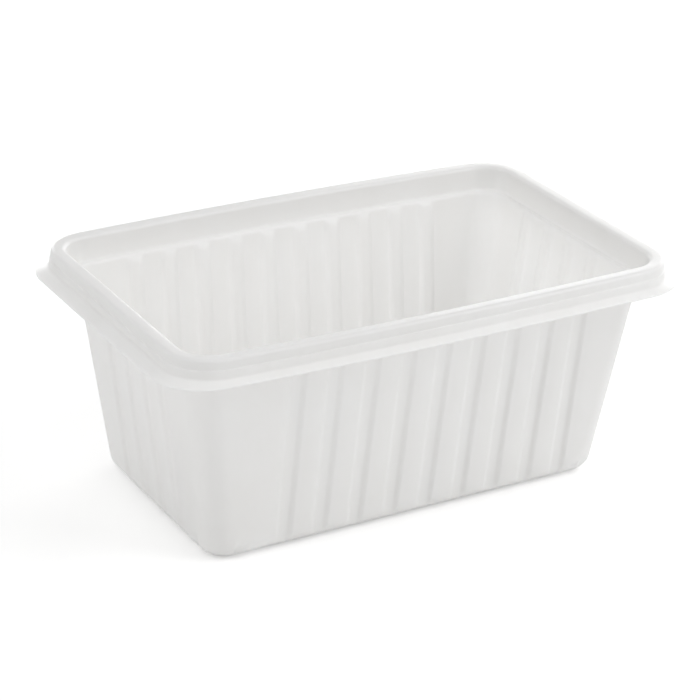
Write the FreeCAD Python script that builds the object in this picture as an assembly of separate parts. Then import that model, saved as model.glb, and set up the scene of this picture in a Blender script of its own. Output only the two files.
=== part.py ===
"""Disposable one-litre food container: an open, rectangular, thin-walled plastic tub.

One moulded sheet of plastic makes the whole tub: a flat base, leaning walls with upright flutes
pressed into them, a stacking ledge, and a hollow rim that turns down outside and ends in a flange.
Millimetres, +Z up, +X along the long sides, origin on the floor under the middle of the base.
"""
import FreeCAD, Part
import math
import os

# Overall sizes, with the flange
overall_length = 191.0
overall_width = 115.2           # at the corners; the long sides bulge by side_bow beyond it
overall_height = 78.7
side_bow = 1.5                  # outward bulge of each long side at its middle, at the rim
wall = 0.7                      # thickness of the sheet, everywhere

# Body
end_draft = 7.6                 # degrees that the short walls lean outward
side_draft = 5.9                # degrees that the long walls lean outward
base_radius = 6.0               # outside radius between the base and the walls
body_corner_radius = 9.4        # outside radius of the four upright corners

# Rim, from the inside outward
ledge_drop = 8.5                # from the top of the rim down to the stacking ledge
ledge_width = 1.7
ledge_rise = 0.2                # from the wall out to the foot of the smooth band
band_run = 1.7                  # outward lean of the smooth band above the ledge
crown_width = 4.65              # top of the rim, between its two shoulders
crown_round = 1.2               # radius of those shoulders
crown_fall = 0.3                # fall of the crown from its outer shoulder to its inner one
crown_corner_radius = 14.8      # at the outer shoulder
skirt_run = 0.7                 # outward lean of the skirt, from the crown to the flange
skirt_step = 0.4                # small step that runs round the skirt
skirt_step_drop = 3.7           # from the top of the rim down to that step
flange_reach_end = 5.15         # flange edge beyond the crown at the short sides
flange_reach_side = 3.05        # and at the long sides
flange_corner_radius = 17.8
flange_drop = 7.9               # from the top of the rim down to the upper edge of the flange
flange_slope = 1.5              # fall of the flange from the skirt to its edge

# Flutes: shallow upright grooves pressed inward, which stand out as ridges inside
flute_mouth = 7.0
flute_floor = 2.4
flute_depth = 1.0
side_flute_pitch = 13.05
end_flute_pitch = 12.5
flute_row_shift = {             # how far each wall's row stands from that wall's middle,
    "front": 3.0,               # towards +X on the long walls
    "back": 4.4,
    "left": -2.4,               # towards +Y on the short walls
    "right": 2.7,
}
flute_margin = 4.0              # least flat wall between the last flute and the corner
flute_fade = 3.2                # height over which a flute fades out under the ledge
flute_clear = 0.3               # how far a faded flute's end stands off the wall

# Levels and half sizes that follow from them
side_lean = math.radians(side_draft)
end_lean = math.radians(end_draft)
radius_end = math.pi / 2 - side_lean            # how far round the base radius meets the wall
radius_top = base_radius * (1 - math.cos(radius_end))
ledge_top = overall_height - ledge_drop
wall_top = ledge_top - wall
skirt_foot = overall_height - flange_drop + flange_slope
crown_half_length = overall_length / 2 - flange_reach_end
crown_half_width = overall_width / 2 - flange_reach_side
body_inset = crown_width + band_run + ledge_width - wall    # from crown shoulder in to outer wall

SIDES = ("front", "right", "back", "left")
RADIUS_ANGLES = [radius_end * share for share in (0.0, 0.33, 0.67, 1.0)]


def ring(half_length, half_width, radius, bow, z):
    """Level outline: a rectangle with round corners whose long sides bulge outward by bow.

    The turn of each long side's arc at its ends is chosen so that it meets the corners smoothly.
    """
    turn = 2 * math.atan(bow / (half_length - radius))
    middle = (math.pi / 2 - turn) / 2
    corner_x = half_length - radius
    corner_y = half_width - radius

    def corner_point(side_x, side_y, angle):
        x = side_x * (corner_x + radius * math.cos(angle))
        y = side_y * (corner_y + radius * math.sin(angle))
        return FreeCAD.Vector(x, y, z)

    def join(first, last, side_y):
        if bow == 0:
            return Part.LineSegment(first, last).toShape()
        crest = FreeCAD.Vector(0, side_y * (half_width + bow), z)
        return Part.Arc(first, crest, last).toShape()

    edges = []
    for side_x, side_y in ((1, 1), (-1, 1), (-1, -1), (1, -1)):
        at_end = corner_point(side_x, side_y, 0)
        at_side = corner_point(side_x, side_y, math.pi / 2 - turn)
        halfway = corner_point(side_x, side_y, middle)
        opposite_side = corner_point(-side_x, side_y, math.pi / 2 - turn)
        opposite_end = corner_point(side_x, -side_y, 0)
        if side_x == side_y:
            edges.append(Part.Arc(at_end, halfway, at_side).toShape())
            edges.append(join(at_side, opposite_side, side_y))
        else:
            edges.append(Part.Arc(at_side, halfway, at_end).toShape())
            edges.append(Part.LineSegment(at_end, opposite_end).toShape())
    return Part.Wire(edges)


def wall_share(z):
    """0 where the wall leaves the base radius, 1 at its top."""
    return (z - radius_top) / (wall_top - radius_top)


def body_half(z, crown_half, lean):
    """Half size of the outer wall at a height above the base radius."""
    return crown_half - body_inset - (wall_top - z) * math.tan(lean)


def wall_ring(z, depth):
    """Outline of the wall at height z, depth inside its outer face."""
    half_length = body_half(z, crown_half_length, end_lean) - depth / math.cos(end_lean)
    half_width = body_half(z, crown_half_width, side_lean) - depth / math.cos(side_lean)
    return ring(half_length, half_width, body_corner_radius - depth, side_bow * wall_share(z), z)


def radius_ring(angle, depth):
    """Outline of the base radius at an angle up from the base, depth inside its outer face."""
    inset = base_radius * (math.sin(radius_end) - math.sin(angle)) + depth * math.sin(angle)
    half_length = body_half(radius_top, crown_half_length, end_lean) - inset
    half_width = body_half(radius_top, crown_half_width, side_lean) - inset
    z = base_radius * (1 - math.cos(angle)) + depth * math.cos(angle)
    return ring(half_length, half_width, body_corner_radius - inset, 0, z)


def rim_ring(outset, z):
    """Outline of the rim, outset beyond the crown's outer shoulder."""
    half_length = crown_half_length + outset
    half_width = crown_half_width + outset
    return ring(half_length, half_width, crown_corner_radius + outset, side_bow, z)


def flange_edge(z):
    """Outline of the flange's outer edge."""
    return ring(overall_length / 2, overall_width / 2, flange_corner_radius, side_bow, z)


def shoulder(outset, direction, fall, depth):
    """Rings round one shoulder of the crown, from its side up to its top."""
    rings = []
    radius = crown_round - depth
    centre_level = overall_height - fall - crown_round
    for angle in (0, math.pi / 4, math.pi / 2):
        side = outset - direction * (crown_round - radius * math.cos(angle))
        rings.append(rim_ring(side, centre_level + radius * math.sin(angle)))
    return rings


def outer_form():
    """The tub as a filled block: its outer face, the hollow under its rim and its flange."""
    rings = [radius_ring(angle, 0) for angle in RADIUS_ANGLES]
    rings.append(wall_ring(wall_top, 0))
    # under the ledge, up behind the smooth band, over the hollow and down inside the skirt
    rings.append(rim_ring(-crown_width - band_run + wall, wall_top + ledge_rise))
    rings.extend(shoulder(-crown_width, -1, crown_fall, wall))
    rings.extend(reversed(shoulder(0, 1, 0, wall)))
    rings.append(rim_ring(skirt_run - wall, skirt_foot - wall))
    # the flange, then up the outside of the skirt, with its step, and over the crown
    rings.append(flange_edge(overall_height - flange_drop - wall))
    rings.append(flange_edge(overall_height - flange_drop))
    rings.append(rim_ring(skirt_run, skirt_foot))
    step_level = overall_height - skirt_step_drop
    rings.append(rim_ring(skirt_run - skirt_step / 4, step_level))
    rings.append(rim_ring(skirt_run - skirt_step, step_level + skirt_step))
    rings.extend(shoulder(0, 1, 0, 0))
    return Part.makeLoft(rings, True, True)


def inner_form():
    """The space inside the tub, up to just above its rim."""
    rings = [radius_ring(angle, wall) for angle in RADIUS_ANGLES]
    rings.append(wall_ring(ledge_top, wall))
    rings.append(rim_ring(-crown_width - band_run, ledge_top + ledge_rise))
    rings.extend(shoulder(-crown_width, -1, crown_fall, 0))
    # on along the crown's fall, so that the cut leaves the crown's top sloping inward
    rings.append(rim_ring(-crown_round, overall_height))
    rings.append(rim_ring(-crown_round / 2, overall_height + crown_round))
    return Part.makeLoft(rings, True, True)


def flute_places(side):
    """Middles of one wall's flutes: as many as fit at their pitch, centred on the row's shift."""
    if side in ("front", "back"):
        foot = body_half(radius_top, crown_half_length, end_lean)
        pitch = side_flute_pitch
    else:
        foot = body_half(radius_top, crown_half_width, side_lean)
        pitch = end_flute_pitch
    count = math.floor(2 * (foot - body_corner_radius - flute_margin) / pitch)
    first = flute_row_shift[side] - (count - 1) / 2 * pitch
    return [first + index * pitch for index in range(count)]


def flute_stations(depth):
    """Where a flute's sections stand, from top to bottom, and how deep it is at each.

    Each is (height on the wall or None, angle round the base radius, depth of the flute's floor).
    """
    above = wall_top - flute_clear
    stations = [(above, radius_end, -flute_clear), (above - flute_fade, radius_end, depth)]
    fades = (-flute_clear, 0.5 * depth, depth)
    for angle, floor_depth in reversed(list(zip(RADIUS_ANGLES[1:], fades))):
        stations.append((None, angle, floor_depth))
    return stations


def skin_point(side, along, station_z, angle, depth):
    """Point on a wall, depth inside its outer face; along runs along that wall."""
    lengthwise = side in ("front", "back")
    crown_half = crown_half_width if lengthwise else crown_half_length
    lean = side_lean if lengthwise else end_lean
    foot = body_half(radius_top, crown_half, lean)
    bow = 0
    if station_z is None:
        z = base_radius * (1 - math.cos(angle))
        out = foot - base_radius * (math.sin(radius_end) - math.sin(angle))
    else:
        z = station_z
        out = body_half(z, crown_half, lean)
        bow = side_bow * wall_share(z) if lengthwise else 0
    straight = body_half(z, crown_half_length, end_lean) - body_corner_radius
    out += bow * (1 - (along / straight) ** 2)
    out -= depth * math.sin(angle)
    z += depth * math.cos(angle)
    sign = 1 if side in ("back", "right") else -1
    if lengthwise:
        return FreeCAD.Vector(along, sign * out, z)
    return FreeCAD.Vector(sign * out, along, z)


def flute(side, middle, offset):
    """Cutter for one flute, its faces moved offset inward from the flute's own outer face."""
    flank_run = (flute_mouth - flute_floor) / 2
    flank_angle = math.atan(flute_depth / flank_run)
    grow = offset * math.tan(flank_angle / 2)
    outside = flute_clear * 2
    sections = []
    for z, angle, depth in flute_stations(flute_depth):
        mouth_half = flute_mouth / 2 + grow + outside * flank_run / flute_depth
        floor_half = mouth_half - (max(depth, 0) + outside) * flank_run / flute_depth

        def at(along, inward):
            return skin_point(side, middle + along, z, angle, offset + inward)

        left = at(-floor_half, depth)
        right = at(floor_half, depth)
        top_left = at(-mouth_half, -outside)
        top_right = at(mouth_half, -outside)
        sections.append(Part.makePolygon([top_left, left, right, top_right, top_left]))
    return Part.makeLoft(sections, True, True)


def all_flutes(offset):
    """Cutters for every flute of the four walls."""
    cutters = []
    for side in SIDES:
        for middle in flute_places(side):
            cutters.append(flute(side, middle, offset))
    return cutters


def container():
    """The whole tub: the fluted outer form less the fluted space inside."""
    outside = outer_form().cut(all_flutes(0))
    inside = inner_form().cut(all_flutes(wall))
    return outside.cut(inside).Solids[0]


tub = container()
print("valid", tub.isValid(), "solids", len(tub.Solids), "volume", round(tub.Volume), "mm3")
os.makedirs("parts", exist_ok=True)
tub.exportStep("parts/container.step")
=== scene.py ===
import math
import bpy
from mathutils import Matrix, Vector


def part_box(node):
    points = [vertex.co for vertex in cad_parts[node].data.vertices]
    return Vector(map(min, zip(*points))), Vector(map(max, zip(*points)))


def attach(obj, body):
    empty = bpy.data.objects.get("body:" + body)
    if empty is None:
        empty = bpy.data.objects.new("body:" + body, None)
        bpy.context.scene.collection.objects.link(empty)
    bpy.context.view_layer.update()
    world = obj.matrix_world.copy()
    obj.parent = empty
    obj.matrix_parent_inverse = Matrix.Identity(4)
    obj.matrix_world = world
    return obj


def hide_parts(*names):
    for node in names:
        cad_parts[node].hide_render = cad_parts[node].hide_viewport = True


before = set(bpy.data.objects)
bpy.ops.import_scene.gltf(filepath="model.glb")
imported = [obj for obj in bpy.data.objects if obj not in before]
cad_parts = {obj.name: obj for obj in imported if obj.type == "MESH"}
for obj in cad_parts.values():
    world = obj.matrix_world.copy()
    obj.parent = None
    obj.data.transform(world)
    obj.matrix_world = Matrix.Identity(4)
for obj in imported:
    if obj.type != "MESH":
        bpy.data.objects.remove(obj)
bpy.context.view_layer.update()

# ---------------------------------------------------------------- the tub's sizes, in metres
MM = 0.001
CAD_LOW, CAD_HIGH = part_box("container")

SIDE_BOW = 1.5 * MM                     # outward bulge of each long side at the rim
WALL = 0.7 * MM
LENGTH_HALF = CAD_HIGH[0]
WIDTH_HALF = CAD_HIGH[1] - SIDE_BOW
HEIGHT = CAD_HIGH[2]

END_LEAN = math.radians(7.6)
SIDE_LEAN = math.radians(5.9)
BASE_RADIUS = 6.0 * MM
BODY_CORNER = 9.4 * MM
LEDGE_DROP = 8.5 * MM
LEDGE_WIDTH = 1.7 * MM
LEDGE_RISE = 0.2 * MM
BAND_RUN = 1.7 * MM
CROWN_WIDTH = 4.65 * MM
CROWN_ROUND = 1.2 * MM                  # rounding of its inner shoulder
CROWN_OUTER_ROUND = 1.2 * CROWN_ROUND
CROWN_FALL = 0.3 * MM                   # its inner shoulder is this much lower than its outer one
CROWN_CORNER = 14.8 * MM
LEDGE_ROUND = 1.5 * MM                  # rounding from the ledge down into the wall
LEDGE_START = 3.2 * MM                  # how far below the ledge the plain wall ends
SKIRT_RUN = 0.7 * MM
SKIRT_STEP = 0.4 * MM
SKIRT_STEP_DROP = 3.7 * MM
FLANGE_REACH_END = 5.15 * MM
FLANGE_REACH_SIDE = 3.05 * MM
FLANGE_CORNER = 17.8 * MM
FLANGE_DROP = 7.9 * MM
FLANGE_SLOPE = 1.5 * MM
FLANGE_EDGE_ROUND = 0.45 * WALL
SOFT_TURN = 0.6 * MM                    # rounding of the rim's other turns

FLUTE_FLOOR = 2.4 * MM
FLUTE_FLANK = 2.3 * MM
FLUTE_DEPTH = 1.0 * MM
FLUTE_FADE_TOP = 1.6 * MM               # height over which a flute fades out under the ledge
FLUTE_FOOT = 1.2 * MM                   # height above the floor at which a flute begins
FLUTE_FULL = 4.5 * MM                   # and at which it reaches its full depth
FLUTE_ROWS = {                          # each wall's row: pitch, number, shift from its middle
    "front": (13.05 * MM, 9, 4.0 * MM),
    "right": (13.05 * MM, 4, 3.0 * MM),
    "back": (12.6 * MM, 10, -1.8 * MM),
    "left": (12.4 * MM, 4, -0.5 * MM),
}
WALLS = ("front", "right", "back", "left")

# ---------------------------------------------------------------- how closely the mesh is divided
CORNER_STEPS = 14                       # round each upright corner
RADIUS_STEPS = 9                        # round the base radius
WALL_STEPS = 21                         # up the wall
TURN_STEPS = 5                          # round each turn of the rim
FLANK_SHARES = (0, 0.2, 0.4, 0.6, 0.8, 1)
TINY = 1e-6

# ---------------------------------------------------------------- camera
CAMERA_TURN = math.radians(-30.89)      # round the tub, from straight in front
CAMERA_RISE = math.radians(24.96)
CAMERA_ROLL = math.radians(2.11)
CAMERA_DISTANCE = 813.93 * MM
CAMERA_AIM = Vector((0, 0, 39.2 * MM))
CAMERA_ACROSS = 1.716 * MM              # that point stands this far right of the picture's middle
CAMERA_UP = -3.419 * MM                 # and this far above it
CAMERA_LENS = 125.63
CAMERA_SENSOR = 36.0
CAMERA_CLIP = (0.01, 50)

# ---------------------------------------------------------------- stage and light
FLOOR_SIZE = 6
FLOOR_GAP = 0.3 * MM                    # lets the light that comes through the base back up
FLOOR_COLOR = (0.9, 0.9, 0.9, 1)
FLOOR_ROUGHNESS = 0.9
FLOOR_LIFT = 0.3                        # whitens the floor for the camera, not for the tub
WHITE = (1, 1, 1, 1)
WORLD_LEVEL = 0.45                      # light from all round
WORLD_SEEN = 1.0                        # how bright the camera sees it
LAMPS = [                               # softboxes: name, place in metres, size, power in watts
    ("high_left", (-0.55, -0.35, 1.10), 0.7, 2.2),
    ("left", (-1.30, 0.20, 0.60), 1.0, 3.2),
    ("back", (0.15, 1.30, 0.26), 0.5, 2.2),
    ("back_right", (1.10, 0.80, 0.32), 1.1, 7.0),
    ("right", (1.30, 0.50, 0.35), 1.1, 2.0),
    ("front_right", (0.75, -0.70, 1.10), 0.8, 4.3),
    ("low_right", (0.95, -0.85, 0.30), 0.7, 3.2),
]

# ---------------------------------------------------------------- plastic
# Noise patterns: stretch along the axes, scale, detail
CLOUDS = ((1, 1, 0.6), 45, 3)
SHEEN_PATCHES = ((1, 1, 1), 120, 2)
DRAW_MARKS = ((1, 1, 0.08), 320, 2)
GRAIN = ((1, 1, 1), 1800, 1)
TONES = (                               # place in the clouds, colour
    (0.3, (0.897, 0.886, 0.864, 1)),
    (0.7, (0.927, 0.920, 0.904, 1)),
)
ROUGHNESS = (0.26, 0.38)
SPECULAR = 0.4
GRAIN_SHARE = 0.25                      # of the grain in the relief, beside the draw marks
RELIEF_STRENGTH = 0.12
RELIEF_HEIGHT = 0.1 * MM
SCATTER_DISTANCE = 2.5 * MM             # how far light spreads within the sheet

# ---------------------------------------------------------------- derived sizes
RADIUS_END = math.pi / 2 - SIDE_LEAN
RADIUS_TOP = BASE_RADIUS * (1 - math.cos(RADIUS_END))
LEDGE_TOP = HEIGHT - LEDGE_DROP
WALL_TOP = LEDGE_TOP - WALL
CROWN_LENGTH = LENGTH_HALF - FLANGE_REACH_END
CROWN_BREADTH = WIDTH_HALF - FLANGE_REACH_SIDE
BODY_INSET = CROWN_WIDTH + BAND_RUN + LEDGE_WIDTH - WALL


def smooth(share):
    share = min(max(share, 0.0), 1.0)
    return share * share * (3 - 2 * share)


# ---------------------------------------------------------------- the sheet's profile
# A row is (half length, half width, corner radius, bow, height) of one level outline.

def wall_row(z, depth):
    """Outline of the wall at height z, depth inside its outer face."""
    below = WALL_TOP - z
    share = (z - RADIUS_TOP) / (WALL_TOP - RADIUS_TOP)
    return (CROWN_LENGTH - BODY_INSET - below * math.tan(END_LEAN) - depth,
            CROWN_BREADTH - BODY_INSET - below * math.tan(SIDE_LEAN) - depth,
            BODY_CORNER - depth, SIDE_BOW * share, z)


def radius_row(angle, depth):
    """Outline of the base radius at an angle up from the base, depth inside its outer face."""
    inset = BASE_RADIUS * (math.sin(RADIUS_END) - math.sin(angle)) + depth * math.sin(angle)
    foot = wall_row(RADIUS_TOP, 0)
    z = BASE_RADIUS * (1 - math.cos(angle)) + depth * math.cos(angle)
    return (foot[0] - inset, foot[1] - inset, foot[2] - inset, 0.0, z)


def rim_row(outset, z):
    """Outline of the rim, outset beyond the crown's outer shoulder."""
    return (CROWN_LENGTH + outset, CROWN_BREADTH + outset, CROWN_CORNER + outset, SIDE_BOW, z)


def edge_row(z):
    """Outline of the flange's outer edge."""
    return (LENGTH_HALF, WIDTH_HALF, FLANGE_CORNER, SIDE_BOW, z)


def mix(first, second, share):
    return tuple(a + (b - a) * share for a, b in zip(first, second))


def span(first, second):
    """How far apart two rows lie, on their middle sections."""
    return math.hypot(second[1] - first[1], second[4] - first[4])


def softened(corners):
    """Rows through a list of (row, rounding), each turn drawn as a curve of that rounding."""
    rows = [corners[0][0]]
    for before, (turn, rounding), after in zip(corners, corners[1:], corners[2:]):
        reach_in = min(rounding / span(turn, before[0]), 0.5)
        reach_out = min(rounding / span(turn, after[0]), 0.5)
        start = mix(turn, before[0], reach_in)
        end = mix(turn, after[0], reach_out)
        for step in range(TURN_STEPS + 1):
            share = step / TURN_STEPS
            rows.append(mix(mix(start, turn, share), mix(turn, end, share), share))
    rows.append(corners[-1][0])
    return rows


def body_rows(depth, top):
    """Rows from the base up the wall, on its outer face or depth inside it."""
    rows = []
    for step in range(RADIUS_STEPS + 1):
        rows.append(radius_row(RADIUS_END * step / RADIUS_STEPS, depth))
    reach = top - LEDGE_START - RADIUS_TOP
    for step in range(1, WALL_STEPS):
        rows.append(wall_row(RADIUS_TOP + reach * step / WALL_STEPS, depth))
    return rows


def sheet_rows():
    """Every row of the sheet: up the outside of the body, round the rim and down the inside."""
    crown_inside = -CROWN_WIDTH
    band_foot = crown_inside - BAND_RUN
    skirt_foot = HEIGHT - FLANGE_DROP + FLANGE_SLOPE
    step_level = HEIGHT - SKIRT_STEP_DROP
    turns = [
        # under the ledge, up behind the band, over the hollow and down inside the skirt
        (wall_row(WALL_TOP - LEDGE_START, 0), 0),
        (wall_row(WALL_TOP, 0), LEDGE_ROUND / 2),
        (rim_row(band_foot + WALL, WALL_TOP + LEDGE_RISE), SOFT_TURN),
        (rim_row(crown_inside + WALL, HEIGHT - CROWN_FALL - WALL), SOFT_TURN),
        (rim_row(-WALL, HEIGHT - WALL), SOFT_TURN),
        (rim_row(SKIRT_RUN - WALL, skirt_foot - WALL), SOFT_TURN),
        # the flange, and up the outside of the skirt with its step
        (edge_row(HEIGHT - FLANGE_DROP - WALL), FLANGE_EDGE_ROUND),
        (edge_row(HEIGHT - FLANGE_DROP), FLANGE_EDGE_ROUND),
        (rim_row(SKIRT_RUN, skirt_foot), SOFT_TURN),
        (rim_row(SKIRT_RUN - SKIRT_STEP / 4, step_level), SOFT_TURN / 2),
        (rim_row(SKIRT_RUN - SKIRT_STEP, step_level + SKIRT_STEP), SOFT_TURN / 2),
        # over the crown, down the band and across the ledge
        (rim_row(0, HEIGHT), CROWN_OUTER_ROUND),
        (rim_row(crown_inside, HEIGHT - CROWN_FALL), CROWN_ROUND),
        (rim_row(band_foot, LEDGE_TOP + LEDGE_RISE), SOFT_TURN),
        (wall_row(LEDGE_TOP, WALL), LEDGE_ROUND),
        (wall_row(LEDGE_TOP - LEDGE_START, WALL), 0),
    ]
    outside = body_rows(0, WALL_TOP)
    inside = body_rows(WALL, LEDGE_TOP)
    return outside + softened(turns) + inside[::-1]


# ---------------------------------------------------------------- columns round the tub
def flute_middles(wall):
    pitch, number, shift = FLUTE_ROWS[wall]
    return [shift + (index - (number - 1) / 2) * pitch for index in range(number)]


def flute_reach(wall, along):
    """How far into a flute a place along a wall is: 0 on the flat, 1 on a flute's floor."""
    nearest = min(abs(along - middle) for middle in flute_middles(wall))
    return smooth((FLUTE_FLOOR / 2 + FLUTE_FLANK - nearest) / FLUTE_FLANK)


def wall_columns(wall):
    """Places along a wall where the mesh has a column, closest over the flutes' flanks."""
    foot = wall_row(RADIUS_TOP, 0)
    flat = foot[0 if wall in ("front", "back") else 1] - BODY_CORNER
    steps = [FLUTE_FLOOR / 2 + FLUTE_FLANK * share for share in FLANK_SHARES]
    places = [-flat, flat]
    for middle in flute_middles(wall):
        places.append(middle)
        for step in steps:
            places.extend((middle - step, middle + step))
    pitch = FLUTE_ROWS[wall][0]
    for middle in flute_middles(wall)[:-1]:
        places.append(middle + pitch / 2)
    return sorted(places)


def outline(row):
    """Points of one row's outline, counterclockwise from the front left, with their wall data.

    Each is (x, y, wall or None, place along that wall).
    """
    half_length, half_width, radius, bow, z = row
    reach_x = half_length - radius
    reach_y = half_width - radius
    turn = 2 * math.atan(bow / reach_x)
    if turn > TINY:
        bend = (reach_x + radius * math.sin(turn)) / math.sin(turn)
    points = []
    for index, wall in enumerate(WALLS):
        lengthwise = index % 2 == 0
        outward = -1 if wall in ("front", "left") else 1
        onward = 1 if wall in ("front", "right") else -1
        places = wall_columns(wall)
        for place in places if onward > 0 else reversed(places):
            if lengthwise:
                y = half_width
                if turn > TINY:
                    y += bow - bend + math.sqrt(bend * bend - place * place)
                points.append((place, outward * y, wall, place))
            else:
                points.append((outward * half_length, place, wall, place))
        # the corner that follows this wall
        side_x = 1 if wall in ("front", "right") else -1
        side_y = 1 if wall in ("right", "back") else -1
        first, last = (math.pi / 2 - turn, 0) if lengthwise else (0, math.pi / 2 - turn)
        for step in range(CORNER_STEPS + 1):
            angle = first + (last - first) * step / CORNER_STEPS
            x = side_x * (reach_x + radius * math.cos(angle))
            y = side_y * (reach_y + radius * math.sin(angle))
            points.append((x, y, None, 0))
    return points


def flute_strength(z):
    """How much of a flute's depth there is at a height."""
    head = smooth((WALL_TOP - z) / FLUTE_FADE_TOP)
    foot = smooth((z - FLUTE_FOOT) / (FLUTE_FULL - FLUTE_FOOT))
    return head * foot


def inward_way(before, after):
    """Direction from a row into the tub, square to the sheet: its share across and its share up."""
    tangent = Vector((after[1] - before[1], after[4] - before[4])).normalized()
    inward = Vector((-tangent[1], tangent[0]))
    if inward[0] > 0 or (abs(inward[0]) < TINY * MM and inward[1] < 0):
        inward = -inward
    return inward


def build_tub():
    """The tub as one closed mesh: every row's outline joined to the next, with a base each side."""
    rows = sheet_rows()
    reach = {wall: {} for wall in WALLS}
    widest_fluted = wall_row(WALL_TOP, 0)[1] + TINY
    verts = []
    for index, row in enumerate(rows):
        inward = inward_way(rows[max(index - 1, 0)], rows[min(index + 1, len(rows) - 1)])
        strength = FLUTE_DEPTH * flute_strength(row[4]) if row[1] < widest_fluted else 0
        for x, y, wall, along in outline(row):
            z = row[4]
            if wall and strength > 0:
                if along not in reach[wall]:
                    reach[wall][along] = flute_reach(wall, along)
                push = strength * reach[wall][along]
                if wall in ("front", "back"):
                    y += math.copysign(1, y) * inward[0] * push
                else:
                    x += math.copysign(1, x) * inward[0] * push
                z += inward[1] * push
            verts.append((x, y, z))
    count = len(verts) // len(rows)
    faces = []
    for row in range(len(rows) - 1):
        for column in range(count):
            onward = (column + 1) % count
            faces.append((row * count + column, row * count + onward,
                          (row + 1) * count + onward, (row + 1) * count + column))
    faces.append(tuple(range(count))[::-1])
    last = (len(rows) - 1) * count
    faces.append(tuple(range(last, last + count)))
    mesh = bpy.data.meshes.new("tub")
    mesh.from_pydata(verts, [], faces)
    mesh.update()
    for face in mesh.polygons:
        face.use_smooth = True
    tub = bpy.data.objects.new("tub", mesh)
    bpy.context.collection.objects.link(tub)
    return tub


# ---------------------------------------------------------------- making
def noise(tree, coordinates, pattern):
    """A noise pattern on the object's own coordinates."""
    stretch, scale, detail = pattern
    mapping = tree.nodes.new("ShaderNodeMapping")
    mapping.inputs["Scale"].default_value = stretch
    tree.links.new(coordinates, mapping.inputs["Vector"])
    texture = tree.nodes.new("ShaderNodeTexNoise")
    texture.inputs["Scale"].default_value = scale
    texture.inputs["Detail"].default_value = detail
    tree.links.new(mapping.outputs["Vector"], texture.inputs["Vector"])
    return texture.outputs["Fac"]


def plastic():
    """Milky white polypropylene: light passes through it, and its sheen is soft and uneven."""
    material = bpy.data.materials.new("milky_plastic")
    material.use_nodes = True
    tree = material.node_tree
    shader = tree.nodes["Principled BSDF"]
    coordinates = tree.nodes.new("ShaderNodeTexCoord").outputs["Object"]

    # cloudy tone, where the sheet is drawn a little thinner or thicker
    tone = tree.nodes.new("ShaderNodeValToRGB")
    for element, (position, color) in zip(tone.color_ramp.elements, TONES):
        element.position = position
        element.color = color
    tree.links.new(noise(tree, coordinates, CLOUDS), tone.inputs["Fac"])
    tree.links.new(tone.outputs["Color"], shader.inputs["Base Color"])

    # uneven sheen
    sheen = tree.nodes.new("ShaderNodeMapRange")
    sheen.inputs["To Min"].default_value = ROUGHNESS[0]
    sheen.inputs["To Max"].default_value = ROUGHNESS[1]
    tree.links.new(noise(tree, coordinates, SHEEN_PATCHES), sheen.inputs["Value"])
    tree.links.new(sheen.outputs["Result"], shader.inputs["Roughness"])
    shader.inputs["Specular IOR Level"].default_value = SPECULAR

    # faint draw marks up the walls, and the mould's fine grain
    relief = tree.nodes.new("ShaderNodeMath")
    relief.operation = "MULTIPLY_ADD"
    relief.inputs[1].default_value = GRAIN_SHARE
    tree.links.new(noise(tree, coordinates, GRAIN), relief.inputs[0])
    tree.links.new(noise(tree, coordinates, DRAW_MARKS), relief.inputs[2])
    bump = tree.nodes.new("ShaderNodeBump")
    bump.inputs["Strength"].default_value = RELIEF_STRENGTH
    bump.inputs["Distance"].default_value = RELIEF_HEIGHT
    tree.links.new(relief.outputs["Value"], bump.inputs["Height"])
    tree.links.new(bump.outputs["Normal"], shader.inputs["Normal"])

    # light that passes into the sheet and out again
    shader.inputs["Subsurface Weight"].default_value = 1.0
    shader.inputs["Subsurface Radius"].default_value = (1.0, 1.0, 1.0)
    shader.inputs["Subsurface Scale"].default_value = SCATTER_DISTANCE
    return material


def make_camera():
    """The photograph's viewpoint: from the front left, above, with a slight roll."""
    back = Vector((math.sin(CAMERA_TURN) * math.cos(CAMERA_RISE),
                   -math.cos(CAMERA_TURN) * math.cos(CAMERA_RISE),
                   math.sin(CAMERA_RISE)))
    level = Vector((math.cos(CAMERA_TURN), math.sin(CAMERA_TURN), 0))
    raised = back.cross(level)
    right = math.cos(CAMERA_ROLL) * level + math.sin(CAMERA_ROLL) * raised
    up = -math.sin(CAMERA_ROLL) * level + math.cos(CAMERA_ROLL) * raised
    place = CAMERA_AIM + CAMERA_DISTANCE * back - CAMERA_ACROSS * right - CAMERA_UP * up
    data = bpy.data.cameras.new("camera")
    data.lens = CAMERA_LENS
    data.sensor_width = CAMERA_SENSOR
    data.clip_start, data.clip_end = CAMERA_CLIP
    camera = bpy.data.objects.new("camera", data)
    bpy.context.collection.objects.link(camera)
    turn = Matrix((right, up, back)).transposed().to_4x4()
    camera.matrix_world = Matrix.Translation(place) @ turn
    bpy.context.scene.camera = camera


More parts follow.
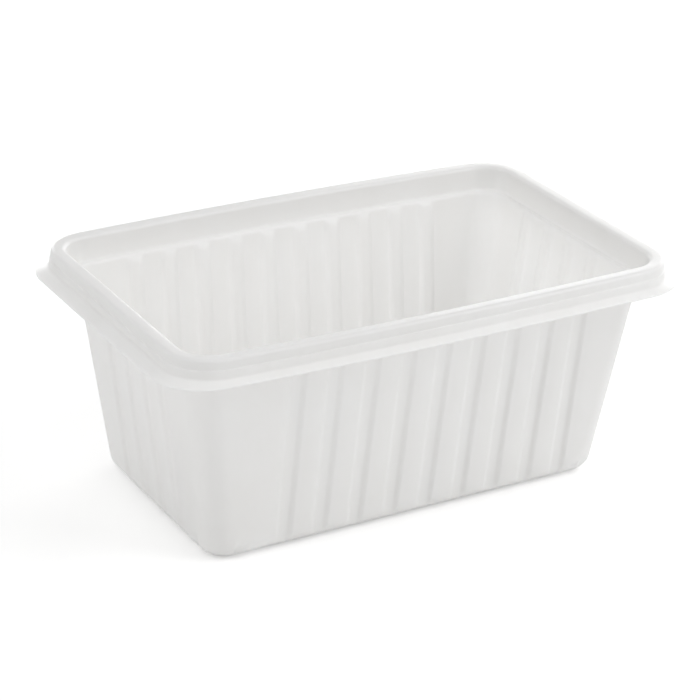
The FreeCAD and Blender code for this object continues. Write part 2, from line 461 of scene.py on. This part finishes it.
def make_floor():
    """A pale floor, lifted to white for the camera alone, that keeps the tub's shadow."""
    bpy.ops.mesh.primitive_plane_add(size=FLOOR_SIZE, location=(0, 0, -FLOOR_GAP))
    floor = bpy.context.object
    floor.name = "floor"
    material = bpy.data.materials.new("floor_white")
    material.use_nodes = True
    tree = material.node_tree
    shader = tree.nodes["Principled BSDF"]
    shader.inputs["Base Color"].default_value = FLOOR_COLOR
    shader.inputs["Roughness"].default_value = FLOOR_ROUGHNESS
    shader.inputs["Emission Color"].default_value = WHITE
    path = tree.nodes.new("ShaderNodeLightPath")
    lift = tree.nodes.new("ShaderNodeMath")
    lift.operation = "MULTIPLY"
    lift.inputs[1].default_value = FLOOR_LIFT
    tree.links.new(path.outputs["Is Camera Ray"], lift.inputs[0])
    tree.links.new(lift.outputs[0], shader.inputs["Emission Strength"])
    floor.data.materials.append(material)


def make_world():
    """Even light from all round, which the camera sees as white."""
    world = bpy.data.worlds.new("studio")
    bpy.context.scene.world = world
    world.use_nodes = True
    tree = world.node_tree
    background = tree.nodes["Background"]
    background.inputs["Color"].default_value = WHITE
    path = tree.nodes.new("ShaderNodeLightPath")
    level = tree.nodes.new("ShaderNodeMapRange")
    level.inputs["To Min"].default_value = WORLD_LEVEL
    level.inputs["To Max"].default_value = WORLD_SEEN
    tree.links.new(path.outputs["Is Camera Ray"], level.inputs["Value"])
    tree.links.new(level.outputs["Result"], background.inputs["Strength"])


def make_lamp(name, place, size, power):
    """A square softbox aimed at the tub."""
    data = bpy.data.lights.new(name, "AREA")
    data.shape = "SQUARE"
    data.size = size
    data.energy = power
    lamp = bpy.data.objects.new(name, data)
    bpy.context.collection.objects.link(lamp)
    lamp.location = place
    lamp.rotation_euler = (Vector(place) - CAMERA_AIM).to_track_quat("Z", "Y").to_euler()


make_camera()
make_floor()
make_world()
for lamp in LAMPS:
    make_lamp(*lamp)
tub = build_tub()
tub.data.materials.append(plastic())
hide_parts("container")
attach(tub, "root")

bpy.context.scene.view_settings.view_transform = "Standard"
